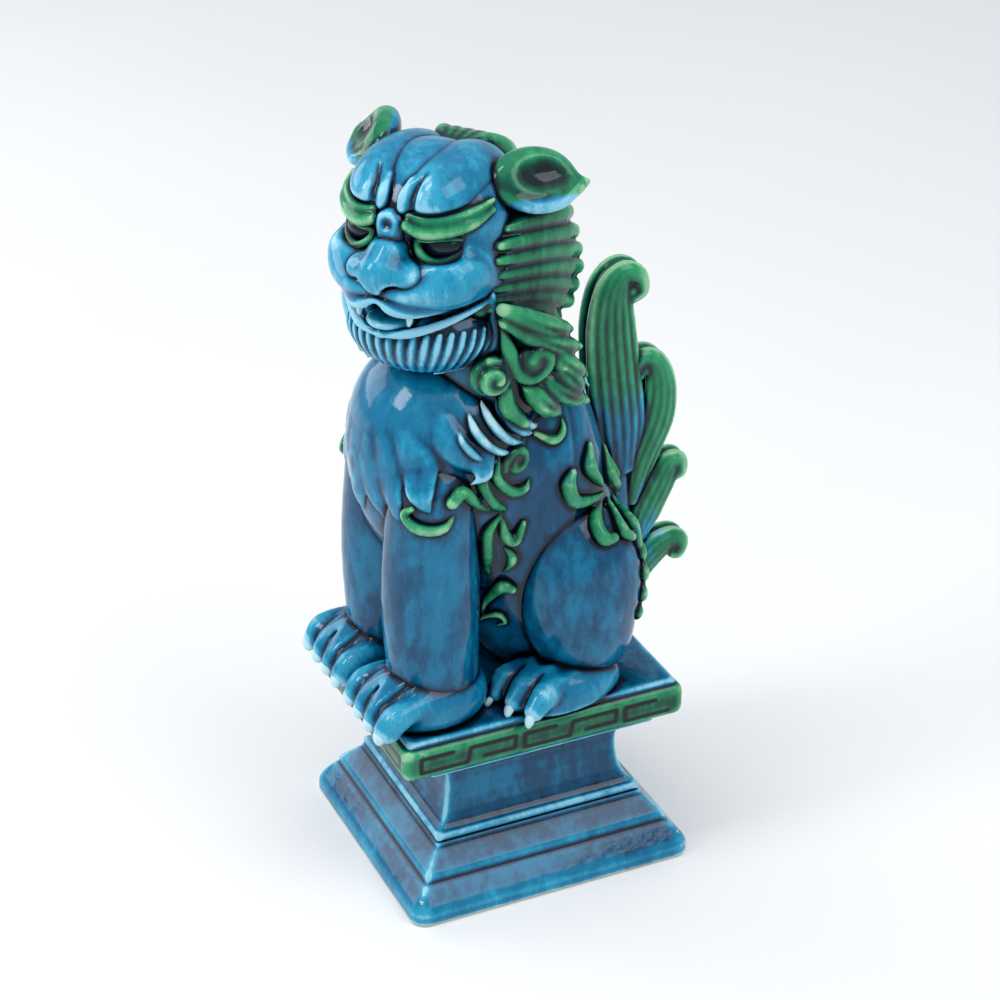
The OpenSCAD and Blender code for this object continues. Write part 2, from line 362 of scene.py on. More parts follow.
def section(outline):
    """The signed distance from (q, z) to a closed outline: negative inside."""
    ends = list(zip(outline, outline[1:] + outline[:1]))

    def distance(q, z):
        nearest = None
        inside = np.zeros(np.broadcast(q, z).shape, bool)
        for (aq, az), (bq, bz) in ends:
            eq, ez = bq - aq, bz - az
            t = np.clip(((q - aq) * eq + (z - az) * ez) / max(eq * eq + ez * ez, 1e-9), 0, 1)
            d = (q - aq - t * eq) ** 2 + (z - az - t * ez) ** 2
            nearest = d if nearest is None else np.minimum(nearest, d)
            if az != bz:
                crosses = ((az <= z) != (bz <= z)) & (q < (z - az) * eq / ez + aq)
                inside = inside ^ crosses
        return np.sqrt(nearest) * np.where(inside, -1, 1)

    return distance


def moulding(half_x, half_y, corner, outline):
    """An outline of (inset, height) points run round a rounded rectangle, mitred at its corners."""
    distance_2d = section([(-inset, height) for inset, height in outline])
    low = np.array([-half_x, -half_y, min(h for _, h in outline)])
    high = np.array([half_x, half_y, max(h for _, h in outline)])

    def distance(x, y, z):
        qx, qy = np.abs(x) - (half_x - corner), np.abs(y) - (half_y - corner)
        outside = np.sqrt(np.maximum(qx, 0) ** 2 + np.maximum(qy, 0) ** 2)
        return distance_2d(outside + np.minimum(np.maximum(qx, qy), 0) - corner, z)

    return Shape([(low, high, distance)])


CLAYS = {}


def lump(name):
    CLAYS[name] = Clay()
    return CLAYS[name]


# ---------- plinth ----------

FOOT_HALF = (FOOT_HIGH - FOOT_LOW)[:2] / 2
SLAB_HALF = (SLAB_HIGH - SLAB_LOW)[:2] / 2
SLAB_Z = SLAB_LOW[2]
WALL = 5.0
STEP_IN = 7.3
NECK_IN = 21.5
CREASE = 24.0

foot = [(0, 0), (0, 4.5), (1.2, 6.6), (3.4, 9.2), (STEP_IN - 1, 12.6), (STEP_IN, 13), (STEP_IN, 15),
        (STEP_IN + 0.6, 16.2), (13.2, 21.6), (14.2, 22.4), (14.2, CREASE), (NECK_IN + WALL, CREASE),
        (NECK_IN + WALL, 10), (WALL + STEP_IN, 10), (WALL + STEP_IN, 0)]
lump("foot_moulding").add(moulding(FOOT_HALF[0], FOOT_HALF[1], 6, foot))


def neck_profile(flare):
    """Half a cavetto: up from the foot's crease, in to the waist and out again under the slab."""
    rise = [(14.6, CREASE), (14.6, 26), (15.2, 27)]
    hollow = [(NECK_IN - 6.2 * (1 - math.sin(a)), 27 + 18 * (1 - math.cos(a)))
              for a in np.radians((10, 25, 40, 55, 70, 90))]
    lip = [(NECK_IN - flare * (1 - math.cos(a)), 45 + 9.5 * math.sin(a))
           for a in np.radians((20, 40, 60, 75, 90))]
    under = [(NECK_IN - flare - 1, 54.5), (NECK_IN - flare - 1, SLAB_Z)]
    return rise + hollow + lip + under + [(NECK_IN + WALL, SLAB_Z), (NECK_IN + WALL, CREASE)]


lump("plinth_neck").add(moulding(FOOT_HALF[0], FOOT_HALF[1], 6, neck_profile(9)))

slab = lump("top_slab")
slab_mid = ((SLAB_LOW + SLAB_HIGH) / 2 - SHIFT)
slab.add(box(STAND, slab_mid, (*SLAB_HALF, (SLAB_HIGH[2] - SLAB_Z) / 2), 3.2))

FRET_TOP, FRET_LOW = SLAB_HIGH[2] - 3.6, SLAB_Z + 3.4
HOOK = 18.0          # a hook's length along the edge
HOOK_GAP = 1.7
FRET_CUT = 0.62


def fret_hooks(start, count):
    """Key-fret hooks as (along, height) lines, the odd ones upside down and joined to the one before."""
    lines = []
    for i in range(0, count, 2):
        s = start + i * (HOOK + HOOK_GAP)
        line = [(s + 12, FRET_TOP), (s, FRET_TOP), (s, FRET_LOW), (s + HOOK - 0.5, FRET_LOW)]
        if i + 1 < count:
            line += [(s + HOOK + 0.7, FRET_TOP), (s + 2 * HOOK, FRET_TOP), (s + 2 * HOOK - 0.4, FRET_LOW + 1),
                     (s + HOOK + 6, FRET_LOW + 1)]
        lines.append(line)
    return lines


INK_LINES = []


def cut_fret(turn, reach, count):
    side = Frame(turned((0, 0, turn)))
    length = count * HOOK + (count - 1) * HOOK_GAP
    for line in fret_hooks(-length / 2, count):
        line = [side.point((s, -reach, z)) for s, z in line]
        slab.cut(rod(line, FRET_CUT), 0.3)
        INK_LINES.extend(zip(line, line[1:]))


for turn in (90, 270):
    cut_fret(turn, SLAB_HALF[0] + 0.1, 5)
for turn in (0, 180):
    cut_fret(turn, SLAB_HALF[1] + 0.1, 4)

plate = lump("ground_plate")
plate_half = SLAB_HALF - 2.2
plate.add(box(STAND, (0, 0, GROUND - 2.4), (*plate_half, 2.4), 1.6))


# ---------- body ----------

def standing(clay):
    """Cuts a lump off flat at the level that the lion sits on."""
    return clay.cut(box(STAND, (0, 0, GROUND - 30.6), (90, 90, 30)), 0)


chest = ball(STAND, (0, -20, 158), (31, 33, 42))
belly = ball(STAND, (0, 12, 120), (32, 31, 52))
back = ball(STAND, (0, 14, 160), (26, 18, 38))
neck = ball(STAND, (3, -6, 200), (27, 26, 37))
bib = ball(STAND, (0, -21.5, 173), (32.5, 31.5, 31))
skull = ball(HEAD, (1, 20, -4), (27, 24, 22))
cheeks = ball(HEAD, (1.2, 18, -23), (28.5, 26, 16.5))
jaw = ball(HEAD, (1, 17, -42), (27, 25, 16))
mane_core = ball(HEAD, (0, 33, -27), (30.5, 22, 31))


def leg_rod(where):
    path = curve([(LEG_X, -33, 60), (LEG_X, -34, 84), (LEG_X, -34.5, 120), (LEG_X, -33, 158)], 12)
    radii = curve([[14.8], [16.0], [17.0], [15.5]], 12)[:, 0]
    return rod(where.point(path), radii)


def thigh(where):
    return ball(where, (24.5, 19.5, 111), (17.5, 23.5, 32))


# What the relief is laid on: the whole body and head, roughly.
base = Clay().add(chest).add(belly, 14).add(back, 14).add(neck, 10).add(bib, 4)
for _, where, _ in SIDES:
    base.add(leg_rod(where), 3).add(thigh(where), 2)
base.add(skull).add(cheeks, 3).add(jaw, 3)

torso = lump("torso")
torso.add(chest).add(belly, 14).add(back, 14)
standing(torso)

lump("neck_mane").add(neck).add(mane_core, 8)

# The bib is smooth above and ends in pointed locks, drawn from the front as (x, z).
chest_bib = lump("chest_bib")
chest_bib.add(bib)
HEM = [((2, 172), (1, 158), (-2, 142), 6.5), ((8, 174), (10, 160), (14, 145), 6.5),
       ((15, 176), (19, 162), (25, 148), 6.5), ((21, 180), (27, 168), (33, 155), 6.5),
       ((27, 186), (32, 175), (36, 164), 5.5)]
for _, where, _ in SIDES:
    for root, middle, tip, width in HEM:
        strand(chest_bib, base, where, "front", (root, middle, tip),
               [width * 0.4, width * 0.9, width * 0.8, 0.4], flat=2.8, sink=0.28, blend=2.6, count=18)

for side, where, _ in SIDES:
    standing(lump("foreleg_" + side).add(leg_rod(where)))

TOES = 4
TOE_PITCH = 8.4
PAW_X = LEG_X + 1.5
for side, where, _ in SIDES:
    paw = lump("forepaw_" + side)
    paw.add(ball(where, (PAW_X, -37, 78), (17.6, 22, 14)))
    for i in range(TOES):
        place = i - (TOES - 1) / 2
        x = PAW_X + place * TOE_PITCH
        lean = place * 0.7
        toe = [(x - lean * 2, -38, 82), (x, -47, 81.6), (x + lean, -54.5, 79.4), (x + lean, -57.5, 76)]
        paw.add(tube(where, toe, [3.0, 4.6, 5.2, 4.8]), 2.2)
        if i:
            x -= TOE_PITCH / 2
            cleft = [(x - lean, -41, 90), (x, -50, 86.6), (x, -59, 81.5), (x, -63, 74)]
            paw.cut(tube(where, cleft, [0.3, 0.7, 1.0, 1.0], 12), 1.0)
    standing(paw)

for side, where, _ in SIDES:
    haunch = lump("haunch_" + side)
    haunch.add(thigh(where))
    haunch.add(ball(where, (22, 23, 88), (14.5, 17, 16)), 8)
    standing(haunch)


def hind_frame(where):
    """A hind foot's own frame: its toes point out by a few degrees."""
    return Frame(where.axes @ turned((0, 0, 22)), where.point((28, 6, GROUND)))


for side, where, _ in SIDES:
    hind_foot = hind_frame(where)
    hind = lump("hindpaw_" + side)
    hind.add(ball(hind_foot, (0, 3, 3), (16, 20, 12.5)))
    hind.add(ball(hind_foot, (9, 12, 3), (8, 14, 8)), 4)
    for i in (-1, 0, 1):
        toe = [(i * 8.2, -4, 9), (i * 9, -11.5, 7.6), (i * 9.4, -17, 4.2)]
        hind.add(tube(hind_foot, toe, [3.0, 4.9, 3.6], 12), 2.2)
        hind.cut(ball(hind_foot, (i * 9, -1, 15.4), (2.8, 3.4, 2.4)), 2.6)
    for i in (-0.5, 0.5):
        cleft = [(i * 8.6, -7, 13), (i * 9.6, -14, 10), (i * 9.8, -20, 3)]
        hind.cut(tube(hind_foot, cleft, [0.3, 0.9, 1.0], 10), 1.0)
    standing(hind)


# ---------- head ----------

BOTH = (HEAD, HEAD_MIRROR)
MOUTH = [(-27, 7, -27.5), (-17, -4, -31), (-9, -11, -31.2), (0, -13, -30.5), (9, -11, -31.2), (17, -4, -31),
         (27, 7, -27.5)]
mouth = tube(HEAD, MOUTH, [0.7, 2.4, 4.0, 5.2, 4.0, 2.4, 0.7], 24)
throat = ball(HEAD, (0, -4, -30.5), (13, 11, 5.6))

cranium = lump("cranium")
cranium.add(skull).add(cheeks, 8)
for where in BOTH:
    cranium.add(ball(where, (18, 5, -17.5), (10.5, 9.5, 8), (0, 0, 28)), 6)
    cranium.cut(ball(where, (14.8, -1.5, -8.6), (8.4, 5.6, 5.4), (0, 0, 18)), 3)
    cranium.cut(tube(where, [(13, -11, -20), (19, -3.5, -24.5), (26, 8, -21.5)], [0.5], 10), 2.6)
    cranium.add(ball(where, (11.5, -2.8, -22), (14.5, 9.5, 6.4), (0, 0, 38)), 7)
cranium.cut(mouth, 1.5).cut(throat, 1.5)

# The forehead: two broad domes and two short tongues between them, over the brows.
lobes = lump("forehead_lobes")
for where in BOTH:
    lobes.add(ball(where, (10, 21, 3.4), (14.2, 25, 14.4)), 3)
lobes.cut(box(HEAD, (0, 20, -27.4), (60, 60, 30)), 3)
for where in BOTH:
    notch = [(7.2, -6, 0), (7.0, -3.8, 5), (7.4, 0.2, 10), (8.6, 4, 13.4)]
    lobes.cut(tube(where, notch, [1.3, 1.1, 0.7, 0.3], 10), 1.8)
    lobes.add(tube(where, [(3.4, -2.6, 3.4), (3.3, -1.8, 7.4), (3.9, 2.6, 11.4)], [2.3, 1.9, 0.6], 10), 2.6)
parting = [(0, -5, 2.5), (0, -1, 10), (0, 8, 15.2), (0, 22, 17.2), (0, 38, 13)]
lobes.cut(tube(HEAD, parting, [0.8]), 3.4)

for side, _, where in SIDES:
    brow = lump("brow_" + side)
    ridge = [(6, -4.6, -1.2), (11.5, -3.6, -2.8), (18, 0.4, -2.4), (23.4, 7, -0.8), (26.4, 15, 1.4)]
    ridge = curve(ridge, 18)
    brow.add(rod(where.point(ridge), spread([2.0, 2.5, 2.7, 2.5, 1.3], 18)))
    brow.add(rod(where.point(ridge + np.array([0, 1.2, 3.2])), spread([1.2, 2.0, 2.2, 1.8, 0.8], 18)), 1.4)
    for p in ridge[2:16] + np.array([0, 0, 2.0]):
        out = np.array([p[0] * 0.3, -3.2, 0])
        hair = [where.point(p + out + (0, 0, -0.2)), where.point(p + out * 0.1 + (0, 0, 5))]
        brow.cut(rod(hair, 0.55), 0.6)

bead = lump("brow_bead")
bead.add(ball(HEAD, (0, -3.2, -1.6), (5.4, 4.8, 5.0))).add(ball(HEAD, (0, -3.4, -6.4), (4.8, 4.4, 4.6)), 2.5)
bead.cut(ball(HEAD, (0, -8.6, -0.8), (3.0, 2.6, 2.4)), 1.6)

for side, _, where in SIDES:
    lump("eyeball_" + side).add(ball(where, (14.6, 4.4, -8.8), (6.8, 5.6, 4.9), (0, 0, 20)))
    lid = lump("eyelid_" + side)
    lower = [(7.4, -1.4, -7.2), (10.4, -2.6, -11.4), (15, -1.6, -13.6), (20, 2.4, -11.6), (23, 7.2, -7.6)]
    upper = [(7.4, -1.4, -6.6), (12.5, -2.6, -5.2), (18, 0.6, -5.0), (23, 7.2, -7.2)]
    lid.add(tube(where, lower, [1.1, 1.8, 2.0, 1.7, 0.9]))
    lid.add(tube(where, upper, [1.0, 1.4, 1.4, 0.8], 12), 0.5)

nose = lump("nose")
nose.add(rod([HEAD.point(p) for p in ((0, -0.5, -8), (0, -6.5, -12.5), (0, -10.5, -16))], [5.6, 7.0, 7.4]))
nose.add(ball(HEAD, (0, -10.4, -17.6), (7.6, 6.4, 5.6)), 3)
for where in BOTH:
    nose.add(ball(where, (7.8, -7.6, -17.4), (6.2, 6.2, 5.2), (0, 0, 28)), 3.5)
    nose.add(tube(where, [(12.6, -2.6, -15.5), (13.4, -4.2, -19.4), (11, -7, -22)], [1.4, 2.0, 1.4], 8), 2.6)
    nose.cut(ball(where, (6.2, -14.2, -21.2), (3.4, 4.6, 2.6), (0, 0, 28)), 1.6)

lip = lump("upper_lip")
for where in BOTH:
    lip.add(ball(where, (11.5, -2.6, -22.8), (14.2, 9.2, 6.2), (0, 0, 38)), 2.0)
    edge = [(1.0, -14.4, -24.6), (5, -14, -27), (10, -10.8, -28.6), (17, -3.8, -27.9), (26.6, 7, -25.4)]
    lip.add(tube(where, edge, [0.8, 1.7, 1.9, 1.6, 1.1], 16), 3.0)
lip.cut(rod(HEAD.point([(0, -18, -21), (0, -16, -28)]), 0.5), 1.2).cut(throat, 0.6)

low_jaw = lump("lower_jaw")
low_jaw.add(jaw).cut(mouth, 1.0).cut(throat, 1.0)
low_jaw.cut(box(HEAD, (0, 0, -72), (60, 60, 30)), 1)
for where in BOTH:
    gum = [(0, -11.4, -37.0), (8.5, -9.8, -36.4), (16, -3.4, -34.6), (22, 3.2, -31.8), (27.4, 10.5, -28)]
    low_jaw.add(tube(where, gum, [1.7, 1.7, 1.5, 1.4, 1.4], 16), 1.2)
    rim = [(28.4, 11, -26), (28.2, 12.5, -34), (28.6, 13, -42), (23.6, 9.6, -50), (12.5, 0.5, -53.6)]
    low_jaw.add(tube(where, rim, [1.2, 1.7, 1.8, 1.6, 0.9], 16), 0.8)

beard = lump("beard")
RIBS = 19
RIB_ARC = 82.0       # how far round from the chin the last rib stands, degrees
beard.add(ball(HEAD, (1, 17, -42), (26.6, 24.6, 15.6)))
beard.cut(box(HEAD, (0, 0, -8), (60, 60, 30)), 1.5)
for i in range(RIBS):
    side_way = (i - (RIBS - 1) / 2) / ((RIBS - 1) / 2)
    angle = math.radians(RIB_ARC * side_way)
    rib = []
    for step, z in enumerate((-38, -42.5, -47.5, -52, -56)):
        girth = math.sqrt(max(1 - ((z + 42) / 16.4) ** 2, 0.03))
        a = angle * (1 - 0.07 * step)
        rib.append((1 + 27 * girth * math.sin(a), 17 - 25 * girth * math.cos(a), z))
    keep = 11 if abs(side_way) < 0.5 else 9
    fade = 1 - 0.5 * max(abs(side_way) - 0.4, 0)
    radii = fade * spread([1.3, 1.75, 1.7, 1.5, 0.6], 11)
    beard.add(rod(HEAD.point(curve(rib, 11)[:keep]), radii[:keep]), 0.8)

tongue = lump("tongue").add(ball(HEAD, (0, -5, -34.6), (8.5, 8.4, 2.4)))
tongue.cut(rod([HEAD.point((0, -16, -31.8)), HEAD.point((0, 2, -31.4))], 0.8), 1.0)

fangs = lump("fangs")
for where in BOTH:
    fangs.add(rod([where.point((9.6, -8.6, -28)), where.point((9.3, -9.4, -33.4))], [1.9, 0.9]))


def ear_axes():
    """An ear's own axes in the head's: along it to the tip, across it, and out of its bowl."""
    along = np.array([0.56, 0.82, -0.08])
    out = np.array([0.78, -0.32, 0.48])
    along /= np.linalg.norm(along)
    out -= along * (out @ along)
    out /= np.linalg.norm(out)
    return np.stack([along, np.cross(out, along), out], axis=1)


EAR_ROOTS = {"left": (31.5, 33, 6.5), "right": (28.5, 33.5, 10)}
EARS = {}
for side, _, where in SIDES:
    EARS[side] = Frame(where.axes @ ear_axes(), where.point(EAR_ROOTS[side]))
    ear = lump("ear_" + side)
    ear.add(ball(EARS[side], (0, 0, -1), (15.5, 10.8, 6.4)))
    ear.add(tube(EARS[side], [(7, -2, -0.5), (13, -3.4, 0.5), (17.6, -3.0, 3.0)], [6, 3.6, 1.2], 8), 4)
    lower_rim = [(-13, -4, 0.5), (-4, -9.2, 2.6), (6, -9, 3.4), (14, -4.8, 3.4)]
    ear.add(tube(EARS[side], lower_rim, [1.6, 2.4, 2.4, 1.5]), 2.0)
    ear.cut(ball(EARS[side], (2.4, 0.8, 8.4), (12.8, 7.6, 6.6)), 1.8)

crest = lump("crest")
for lean in (-9, -4.5, 0, 4.5, 9):
    flow = [(lean * 0.4, 34, 11.6), (lean * 0.9, 43, 11.5), (lean * 1.25, 52, 6), (lean * 1.4, 57, -5)]
    crest.add(tube(HEAD, flow, [1.6, 3.2, 3.3, 1.0], 12), 0.5)


# ---------- mane ----------

FAN_ROOT = [(26, -7.5), (21.5, -12), (19.5, -16.7), (18.5, -21.5), (17, -25.5), (16, -29), (16.5, -32)]
FAN_TIP = [(50.5, -10.5), (55, -19), (57.5, -26.5), (58.5, -33), (55.5, -38.5), (52, -43), (43, -45.5)]
for side, _, where in SIDES:
    near, far, length = (30.5, 34.5, 1.0) if side == "left" else (23.0, 21.0, 0.9)
    fan = lump("mane_fan_" + side)
    for (ry, rz), (ey, ez) in zip(FAN_ROOT, FAN_TIP):
        end = np.array([ry + (ey - ry) * length, ez])
        bow = (np.array([ry, rz]) + end) / 2 + np.array([0, 1.8])
        path = in_plane(where, near - 3, far, curve([(ry - 5, rz + 0.4), bow, end], 16))
        path += (where.axes @ np.array([2.0, 0, 0])) * np.sin(np.linspace(0.3, math.pi, 16))[:, None]
        outward = np.array([where.axes @ np.array([1.0, 0, 0])] * 16)
        fan.add(rod(path, spread([1.6, 3.0, 4.2, 4.5, 4.1, 2.8], 16), outward, 1.25), 0.35)
        fan.add(rod(path - where.axes @ np.array([5.0, 0, 0]), spread([4, 4.5, 4.5, 4, 2.0], 16)), 1.0)

# The skirt's locks start behind the jaw, in the head's frame, and end on the neck, in the stand's.
SKIRT = [((33, 9.5, -30), (33, 2, 217), (25, 15.5, 210)), ((33, 11, -35), (33, 4, 210.5), (25, 19, 203)),
         ((36.5, 22, -43), (32.5, 9, 202), (25, 21, 192)),
         ((38.5, 27, -51), (31.5, 11, 196.5), (26.5, 18.5, 187)),
         ((37.5, 24, -57), (31.5, 8.5, 191), (25, 22, 182)),
         ((37.5, 19, -60.5), (32, 1.5, 189), (27.5, 10, 181))]
BESIDE = {"left": STAND, "right": Frame(MIRROR.axes, (7, -10, 0))}
for side, _, where in SIDES:
    skirt = lump("mane_skirt_" + side)
    inward = np.array([1.0 if side == "left" else 0.7, 1, 1])       # the turned face hides the right one
    for root, middle, tip in SKIRT:
        path = curve([where.point(root * inward), BESIDE[side].point(middle), BESIDE[side].point(tip)], 14)
        skirt.add(rod(path, spread([2.2, 3.8, 4.2, 3.3, 0.8], 14)), 0.25)
        skirt.add(rod(path + (np.array([0, 0, 195]) - path) * 0.14, spread([3, 5, 5, 3.5, 1.0], 14)), 1.0)
        out = BESIDE[side].axes @ np.array([3.9, 0, 0.6])
        skirt.cut(rod(path[3:12] + out, spread([0.3, 0.7, 0.3], 9)), 0.8)

locks = lump("mane_back")
for i in range(-3, 4):
    lean = 7.5 * i
    hang = [HEAD.point((lean, 50 - 0.5 * abs(i), -8)), HEAD.point((lean * 1.1, 57 - abs(i), -28)),
            HEAD.point((lean * 1.1, 55 - abs(i), -50)), (lean * 0.8, 27 - abs(i), 184 - 3 * (i % 2))]
    locks.add(tube(STAND, hang, [2, 4.6, 4.8, 4.2, 0.8], 16), 0.3)
    locks.add(rod(curve(hang, 16) + np.array([2.0, 2.4, 0]), spread([0.8, 2.0, 2.0, 1.8, 0.5], 16)), 0.3)

UPPER_CURL = [(-14, 222), (-12, 212), (-9.5, 204.5), (-4.5, 200.6), (0.6, 203.4), (1.4, 207.6), (-2, 210),
              (-4.4, 207.4)]
for side, _, _ in SIDES:
    where = BESIDE[side]
    curls = lump("neck_curls_" + side)
    lower_curl = spiral((-17.3, 202.2), 5.6, 1.2, 1.3, 100, -1)
    curls.add(ball(where, (30.5, -17.3, 202.2), (4.6, 7.2, 7.2)))
    curls.add(rod(in_plane(where, 32.6, 35.4, lower_curl), spread([2.0, 2.4, 2.2], 26)), 0.3)
    upper_curl = in_plane(where, 33, 36.0, curve(UPPER_CURL, 30))
    curls.add(rod(upper_curl, spread([1.0, 2.7, 3.0, 2.9, 2.7, 2.5, 2.2], 30)), 0.3)
    curls.add(ball(where, (33.5, -3.6, 206.4), (4.0, 5.6, 5.6)), 0.3)
    tail = curve([(-12.5, 196.5), (-11, 189), (-6, 183), (-3, 181)], 12)
    curls.add(rod(in_plane(where, 32, 31, tail), spread([2.4, 3.2, 2.2, 0.6], 12)), 0.4)

CRESCENTS = [((-9, 194), (-8, 187), (-3, 180), (3, 177)), ((-14, 193), (-12.5, 186), (-7, 179), (1, 174.5)),
             ((-19, 192), (-17.5, 185), (-12, 177.5), (-3, 172.5)),
             ((-24, 189), (-23, 182.5), (-17.5, 175.5), (-7, 170.5)),
             ((-28.5, 185), (-27.5, 179.5), (-22, 173.5), (-12, 169))]
for side, where, _ in SIDES:
    shoulder = lump("shoulder_locks_" + side)
    for line in CRESCENTS:
        strand(shoulder, base, where, "side", line, [0.5, 1.6, 1.9, 1.6, 0.4], flat=0.8, sink=0.05, blend=0.3)

LEAVES = [  # (y, z) points, radii
    (((-1, 186), (5, 181.5), (11, 179)), (1.0, 2.4, 0.6)),
    (((1, 174.5), (8, 170.5), (12, 173), (12, 179)), (1.2, 2.6, 2.0, 0.5)),
    (((-15, 173), (-16, 165), (-10, 157), (-4, 156), (-1, 160)), (1.2, 2.6, 2.8, 2.4, 0.6)),
    (((-19, 173), (-21, 164), (-17, 155), (-11, 150)), (1.2, 2.8, 2.8, 1.2)),
    (((-33, 160), (-29, 162), (-22, 155), (-13, 150)), (3.2, 3.4, 2.2, 1.0)),
    (((-44, 158), (-46, 155), (-43, 151), (-36, 151), (-31, 156)), (1.8, 2.2, 2.9, 2.6, 0.6)),
    (((-13, 149), (-18, 143), (-17, 132), (-12, 119)), (1.2, 2.9, 3.3, 0.5)),
    (((-13, 148), (-11, 140), (-7, 137), (-4, 143)), (1.2, 3.0, 3.0, 1.8)),
    (((-11, 135), (-7, 129), (-10, 121)), (0.8, 2.8, 0.5)),
    (((-13, 102), (-12, 110), (-9, 117), (-6, 116)), (0.9, 2.0, 3.4, 2.4)),
    (((-13, 96), (-12, 101), (-9, 104), (-7, 101), (-9, 98)), (0.7, 1.4, 1.9, 1.5, 1.0)),
]
for side, where, _ in SIDES:
    scrolls = lump("leg_scrolls_" + side)
    for line, radii in LEAVES:
        strand(scrolls, base, where, "side", line, [0.74 * r for r in radii], flat=0.9, sink=0.1, blend=0.3)
    strand(scrolls, base, where, "side", spiral((-8, 168), 4.8, 0.8, 1.4, 200, -1), [1.6, 2.3, 1.6], flat=1.0,
           sink=0.1, blend=0.2, count=26)

FLAMES = [(((28, 145), (20, 146), (14, 148), (12, 154), (14, 158)), (1.0, 2.6, 3.4, 3.6, 2.2)),
          (((28, 147), (24, 152), (20.5, 158), (22, 165)), (1.0, 2.6, 3.4, 1.6)),
          (((32, 158), (31, 150), (36, 142), (40, 134)), (1.2, 3.0, 2.8, 0.8)),
          (((38, 150), (39, 142), (43, 134), (45, 127)), (1.0, 2.6, 2.6, 0.8)),
          (((27, 145), (21, 139), (22, 134), (26, 133)), (1.0, 3.2, 3.6, 2.6)),
          (((30, 142), (30, 134), (34, 130)), (1.0, 3.0, 2.4)),
          (((34, 140), (36, 132), (38, 125)), (1.0, 3.0, 1.8))]
EDGE_SCALES = [(42, 122), (42.5, 114), (42, 106), (41, 98), (39.5, 90)]
for side, where, _ in SIDES:
    flames = lump("hip_flames_" + side)
    for line, radii in FLAMES:
        strand(flames, base, where, "side", line, [0.78 * r for r in radii], flat=0.9, sink=0.1, blend=0.3)
    for y, z in EDGE_SCALES:
        scale = ((y - 1.5, z + 5), (y - 2.6, z), (y - 0.6, z - 5))
        strand(flames, base, where, "side", scale, (0.8, 2.6, 0.8), flat=1.2, sink=0.2, blend=0.3, count=8)


# ---------- tail ----------

tail_root = lump("tail_root")
tail_root.add(rod([(0, 36, 80), (0, 44, 110), (0, 44, 140)], [9, 8, 6]))
standing(tail_root)


def frond(name, spine, width, strands, radius, curl_at, curl_size, thick):
    """A fluted frond in the lion's middle plane: strands side by side along a spine that ends in a curl."""
    count = 34
    clay = lump(name)
    line = curve(spine, count)
    along = np.gradient(line, axis=0)
    across = np.stack([-along[:, 1], along[:, 0]], axis=1)
    across /= np.linalg.norm(across, axis=1, keepdims=True)
    spacing = spread(width, count)
    for i in range(strands):
        s = (i / (strands - 1) - 0.5) * 2
        flat = line + across * (spacing * s)[:, None]
        bulge = 1 - 0.35 * s * s
        for x in (-1, 1):
            path = np.stack([np.full(count, x * (thick - 2) * bulge), flat[:, 0], flat[:, 1]], axis=1)
            clay.add(rod(path, spread(radius, count)), 0.35)
    core = np.stack([np.zeros(count), line[:, 0], line[:, 1]], axis=1)
    clay.add(rod(core, spacing * 0.9 + 0.8, np.array([[1.0, 0, 0]] * count), max(width) / (thick - 1.5)), 0.5)
    clay.add(ball(STAND, (0, *curl_at), (thick - 1.2, curl_size, curl_size)), 0.4)
    return clay


frond("tail_frond_top", [(46, 140), (45, 158), (42.5, 180), (41, 198), (41.5, 210), (45.5, 216), (51, 214),
                         (52.8, 208.5), (49.5, 206)],
      [5, 8.2, 8, 7.2, 5.2, 3.0, 2.2, 1.5, 1.0], 6, [1.8, 2.3, 2.3, 2.2, 1.9, 1.6, 1.5, 1.3, 1.1],
      (48.5, 209), 3.6, 6.5)
frond("tail_frond_upper", [(50, 126), (54, 142), (60.5, 158), (61.5, 171), (58.5, 180), (53.5, 182),
                           (50.5, 178), (53, 175)],
      [2.5, 5, 5, 4, 2.8, 2.0, 1.5, 1.0], 5, [1.4, 2.0, 2.1, 1.9, 1.6, 1.5, 1.3, 1.1],
      (54.5, 177.5), 3.6, 5.8)
frond("tail_frond_lower", [(52, 108), (57, 120), (62.5, 131), (66, 138), (70, 138), (71, 133.5), (68.4, 132)],
      [2.5, 4.8, 4.6, 3, 2, 1.5, 1.0], 5, [1.4, 1.9, 1.9, 1.6, 1.4, 1.2, 1.0], (68.4, 134.6), 2.6, 5.3)
frond("tail_frond_base", [(46, 90), (54, 97), (62, 104), (68, 106.5), (72, 103.8), (71, 99.5), (68, 100)],
      [3, 4.6, 4.2, 3, 2, 1.5, 1.0], 5, [1.6, 1.9, 1.9, 1.6, 1.4, 1.2, 1.0], (68.6, 102.4), 2.6, 5.3)


# ---------- from clay to meshes ----------

def blurred(grid, half):
    """Three running means of 2 * half + 1 cells along each axis: close to a Gaussian."""
    width = 2 * half + 1
    for axis in range(3):
        for _ in range(3):
            pad = [(half + 1, half) if a == axis else (0, 0) for a in range(3)]
            total = np.cumsum(np.pad(grid, pad), axis=axis, dtype=np.float32)
            upper = [slice(width, None) if a == axis else slice(None) for a in range(3)]
            lower = [slice(None, -width) if a == axis else slice(None) for a in range(3)]
            grid = (total[tuple(upper)] - total[tuple(lower)]) / width
    return grid


def sampled(grid, first, cells):
    """A grid's values at places given in lattice cells, read linearly."""
    p = np.clip(cells - first, 0, np.array(grid.shape) - 1.001)
    i = p.astype(int)
    f = p - i
    value = 0
    for corner in np.ndindex(2, 2, 2):
        weight = np.prod(np.where(corner, f, 1 - f), axis=1)
        value = value + weight * grid[tuple((i + corner).T)]
    return value


def new_object(name, mesh):
    piece = bpy.data.objects.new(name, mesh)
    bpy.context.scene.collection.objects.link(piece)
    return piece


